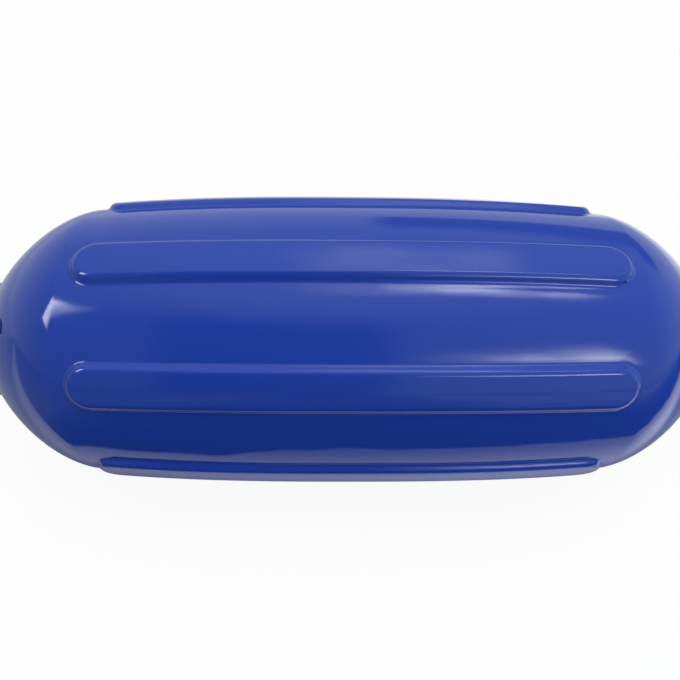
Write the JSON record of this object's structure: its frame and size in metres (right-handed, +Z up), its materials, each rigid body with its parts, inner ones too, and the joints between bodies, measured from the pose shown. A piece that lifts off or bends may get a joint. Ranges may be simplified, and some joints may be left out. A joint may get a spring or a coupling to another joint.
{
  "type": "boat fender",
  "caption": "Ribbed cylindrical inflatable vinyl boat fender with domed ends, a flat rope eye at each end and a recessed inflation valve.",
  "frame": {"origin": "on the ground under the fender, at mid length, at the bottom centre of its bounding box", "axes": "+X along the fender towards the end without the valve, +Z up, the valve at -X facing -Y and up"},
  "size_m": [0.686, 0.216, 0.2161],
  "materials": {
    "vinyl": "gloss",
    "valve_vinyl": "gloss"
  },
  "bodies": {
    "root": {"fender_body": "vinyl", "inflation_valve": "valve_vinyl"}
  },
  "joints": []
}
